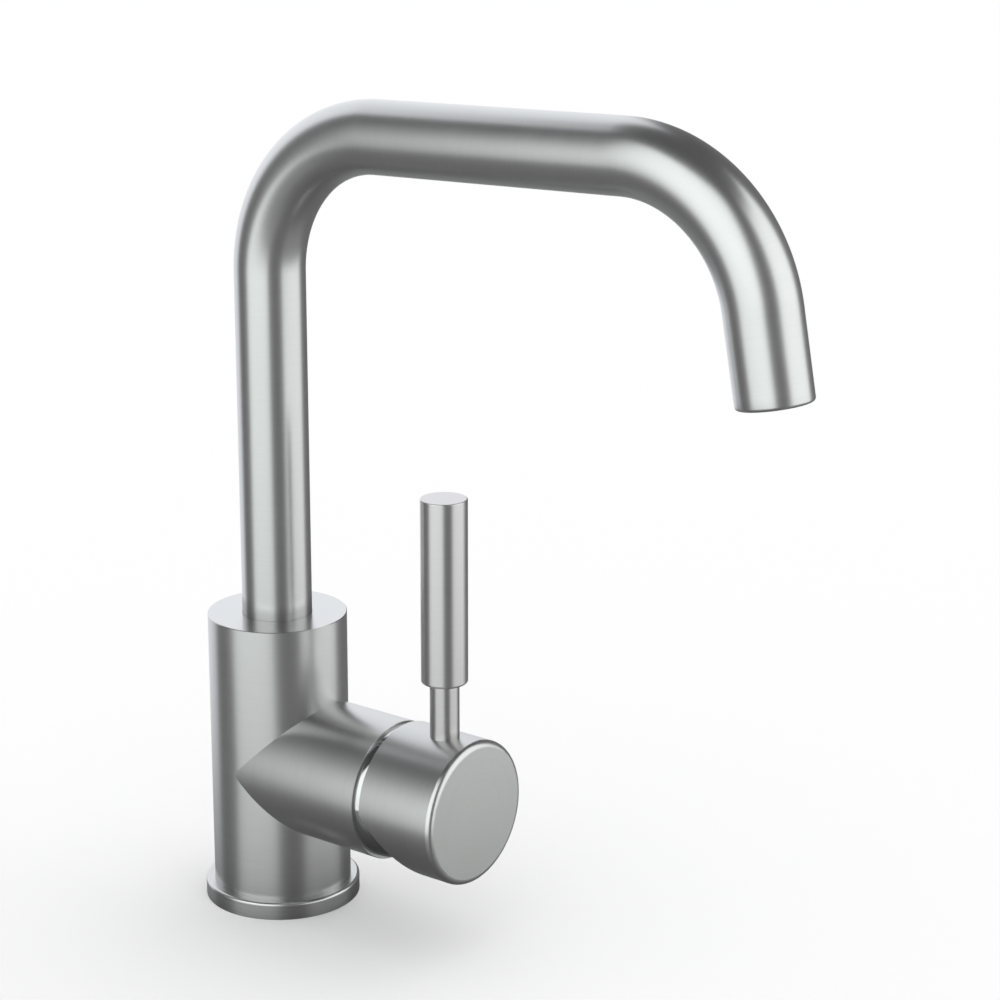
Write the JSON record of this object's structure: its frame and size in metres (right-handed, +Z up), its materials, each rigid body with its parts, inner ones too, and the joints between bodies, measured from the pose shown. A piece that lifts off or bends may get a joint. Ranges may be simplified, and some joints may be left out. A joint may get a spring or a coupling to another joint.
{
  "type": "kitchen sink mixer tap",
  "caption": "Single lever sink mixer with an upright round body, a side branch with a round handle cap and pin lever, and a tall swivelling tube spout.",
  "frame": {"origin": "on the body's axis at deck level, the centre of the face that sits on the deck", "axes": "+Z up along the body, +X towards the handle cap and the outlet, +Y to the cold side"},
  "size_m": [0.2465, 0.0564, 0.2998],
  "materials": {
    "brushed_body": "satin brushed round the axis",
    "brushed_ring": "satin brushed round the axis",
    "brushed_spout": "satin brushed",
    "brushed_handle": "satin brushed",
    "polished_dome": "polished",
    "plain_brass": "turned",
    "screw_steel": "plain",
    "seal_rubber": "moulded",
    "cartridge_plastic": "moulded",
    "white_plastic": "moulded",
    "ceramic": "lapped"
  },
  "bodies": {
    "fixed": {"base_gasket": "seal_rubber", "base_ring": "brushed_ring", "faucet_body": "brushed_body", "cartridge_base": "cartridge_plastic", "port_seals": "seal_rubber", "fixed_disc": "ceramic", "cartridge_housing": "cartridge_plastic", "cartridge_nut": "plain_brass", "dome_cover": "polished_dome", "thrust_washer": "white_plastic", "spout_lock_screw": "screw_steel"},
    "spout": {"spout_tube": "brushed_spout", "spout_coupling": "plain_brass", "lower_o_ring": "seal_rubber", "upper_o_ring": "seal_rubber", "slip_ring": "white_plastic", "outlet_bush": "brushed_spout", "aerator_cup": "white_plastic", "aerator_grid": "white_plastic", "aerator_screen": "screw_steel", "jet_plate": "white_plastic", "aerator_washer": "seal_rubber"},
    "rotor": {"cartridge_rotor": "cartridge_plastic", "tilt_pin": "screw_steel"},
    "disc": {"disc_carrier": "cartridge_plastic", "moving_disc": "ceramic"},
    "lever": {"handle_cap": "brushed_handle", "lever_stem": "brushed_handle", "lever_grip": "brushed_handle", "lever_spindle": "plain_brass", "handle_set_screw": "screw_steel", "screw_plug": "brushed_handle"}
  },
  "joints": [
    {"name": "spout_swivel", "type": "hinge", "parent": "fixed", "child": "spout", "pos_m": [0, 0, 0.0714], "axis": [0, 0, 1], "continuous": true},
    {"name": "temperature", "type": "hinge", "parent": "fixed", "child": "rotor", "pos_m": [0.055, 0, 0.053], "axis": [1, 0, 0], "range_deg": [-45, 45]},
    {"name": "flow", "type": "hinge", "parent": "rotor", "child": "lever", "pos_m": [0.055, 0, 0.053], "axis": [0, 1, 0], "range_deg": [0, 25]},
    {"name": "disc_slide", "type": "slide", "parent": "rotor", "child": "disc", "axis": [0, 0, 1], "range_m": [0, 0.0056]}
  ],
  "couplings": [
    {"joint": "disc_slide", "follows": "flow", "m_per_rad": 0.01259}
  ]
}
